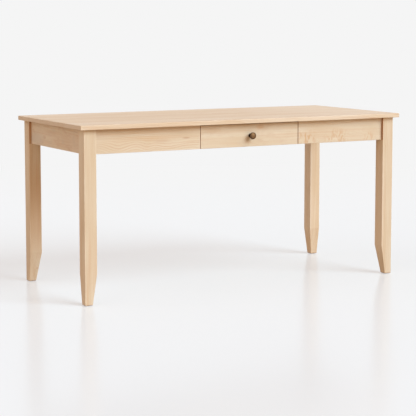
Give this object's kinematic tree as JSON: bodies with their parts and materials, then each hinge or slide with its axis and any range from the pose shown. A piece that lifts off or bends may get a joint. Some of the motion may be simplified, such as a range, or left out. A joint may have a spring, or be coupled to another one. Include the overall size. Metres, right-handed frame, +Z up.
{
  "type": "writing desk",
  "caption": "Flat-topped wooden writing desk on square legs with tapered feet, framed by aprons, with a flush front drawer that pulls out by a round knob on telescopic slides.",
  "frame": {"origin": "on the floor, below the middle of the top", "axes": "+X to the right of a person who faces the drawer, +Y from the drawer to the back, +Z up"},
  "size_m": [1.6256, 0.7112, 0.762],
  "materials": {
    "maple": "clear satin lacquer over light maple",
    "drawer_wood": "thin clear lacquer",
    "plywood": "thin clear lacquer",
    "inner_wood": "sanded, unfinished",
    "zinc_steel": "bright zinc plated",
    "cage_steel": "oiled steel",
    "bronze": "aged bronze, lightly brushed",
    "nylon": "moulded nylon"
  },
  "bodies": {
    "frame": {"tabletop": "maple", "leg_front_left": "maple", "leg_front_right": "maple", "leg_back_left": "maple", "leg_back_right": "maple", "front_apron_left": "maple", "front_apron_right": "maple", "back_apron": "maple", "left_side_apron": "maple", "right_side_apron": "maple", "front_top_rail": "inner_wood", "drawer_divider_left": "inner_wood", "drawer_divider_right": "inner_wood", "corner_brace_front_left": "inner_wood", "corner_brace_front_right": "inner_wood", "corner_brace_back_left": "inner_wood", "corner_brace_back_right": "inner_wood", "corner_brace_screw_front_left": "zinc_steel", "corner_brace_screw_front_right": "zinc_steel", "corner_brace_screw_back_left": "zinc_steel", "corner_brace_screw_back_right": "zinc_steel", "top_button_left_front": "inner_wood", "top_button_left_back": "inner_wood", "top_button_right_front": "inner_wood", "top_button_right_back": "inner_wood", "top_button_back_left": "inner_wood", "top_button_back_right": "inner_wood", "top_button_screw_left_front": "zinc_steel", "top_button_screw_left_back": "zinc_steel", "top_button_screw_right_front": "zinc_steel", "top_button_screw_right_back": "zinc_steel", "top_button_screw_back_left": "zinc_steel", "top_button_screw_back_right": "zinc_steel", "rail_screw_left": "zinc_steel", "rail_screw_right": "zinc_steel", "foot_glide_front_left": "nylon", "foot_glide_front_right": "nylon", "foot_glide_back_left": "nylon", "foot_glide_back_right": "nylon", "slide_left_cabinet_member": "zinc_steel", "slide_right_cabinet_member": "zinc_steel"},
    "drawer": {"drawer_front": "maple", "drawer_box_front": "drawer_wood", "drawer_box_back": "drawer_wood", "drawer_side_left": "drawer_wood", "drawer_side_right": "drawer_wood", "drawer_bottom": "plywood", "drawer_front_screw_left": "zinc_steel", "drawer_front_screw_right": "zinc_steel", "drawer_knob": "bronze", "knob_screw": "zinc_steel", "slide_left_drawer_member": "zinc_steel", "slide_right_drawer_member": "zinc_steel"},
    "left_middle_member": {"slide_left_middle_member": "zinc_steel"},
    "right_middle_member": {"slide_right_middle_member": "zinc_steel"},
    "left_outer_cage": {"slide_left_outer_ball_cage": "cage_steel"},
    "right_outer_cage": {"slide_right_outer_ball_cage": "cage_steel"},
    "left_inner_cage": {"slide_left_inner_ball_cage": "cage_steel"},
    "right_inner_cage": {"slide_right_inner_ball_cage": "cage_steel"}
  },
  "joints": [
    {"name": "drawer_slide", "type": "slide", "parent": "frame", "child": "drawer", "axis": [0, -1, 0], "range_m": [0, 0.4]},
    {"name": "left_middle_slide", "type": "slide", "parent": "frame", "child": "left_middle_member", "axis": [0, -1, 0], "range_m": [0, 0.2]},
    {"name": "right_middle_slide", "type": "slide", "parent": "frame", "child": "right_middle_member", "axis": [0, -1, 0], "range_m": [0, 0.2]},
    {"name": "left_outer_cage_slide", "type": "slide", "parent": "frame", "child": "left_outer_cage", "axis": [0, -1, 0], "range_m": [0, 0.1]},
    {"name": "right_outer_cage_slide", "type": "slide", "parent": "frame", "child": "right_outer_cage", "axis": [0, -1, 0], "range_m": [0, 0.1]},
    {"name": "left_inner_cage_slide", "type": "slide", "parent": "frame", "child": "left_inner_cage", "axis": [0, -1, 0], "range_m": [0, 0.3]},
    {"name": "right_inner_cage_slide", "type": "slide", "parent": "frame", "child": "right_inner_cage", "axis": [0, -1, 0], "range_m": [0, 0.3]}
  ],
  "couplings": [
    {"joint": "left_middle_slide", "follows": "drawer_slide", "ratio": 0.5},
    {"joint": "right_middle_slide", "follows": "drawer_slide", "ratio": 0.5},
    {"joint": "left_outer_cage_slide", "follows": "drawer_slide", "ratio": 0.25},
    {"joint": "right_outer_cage_slide", "follows": "drawer_slide", "ratio": 0.25},
    {"joint": "left_inner_cage_slide", "follows": "drawer_slide", "ratio": 0.75},
    {"joint": "right_inner_cage_slide", "follows": "drawer_slide", "ratio": 0.75}
  ]
}
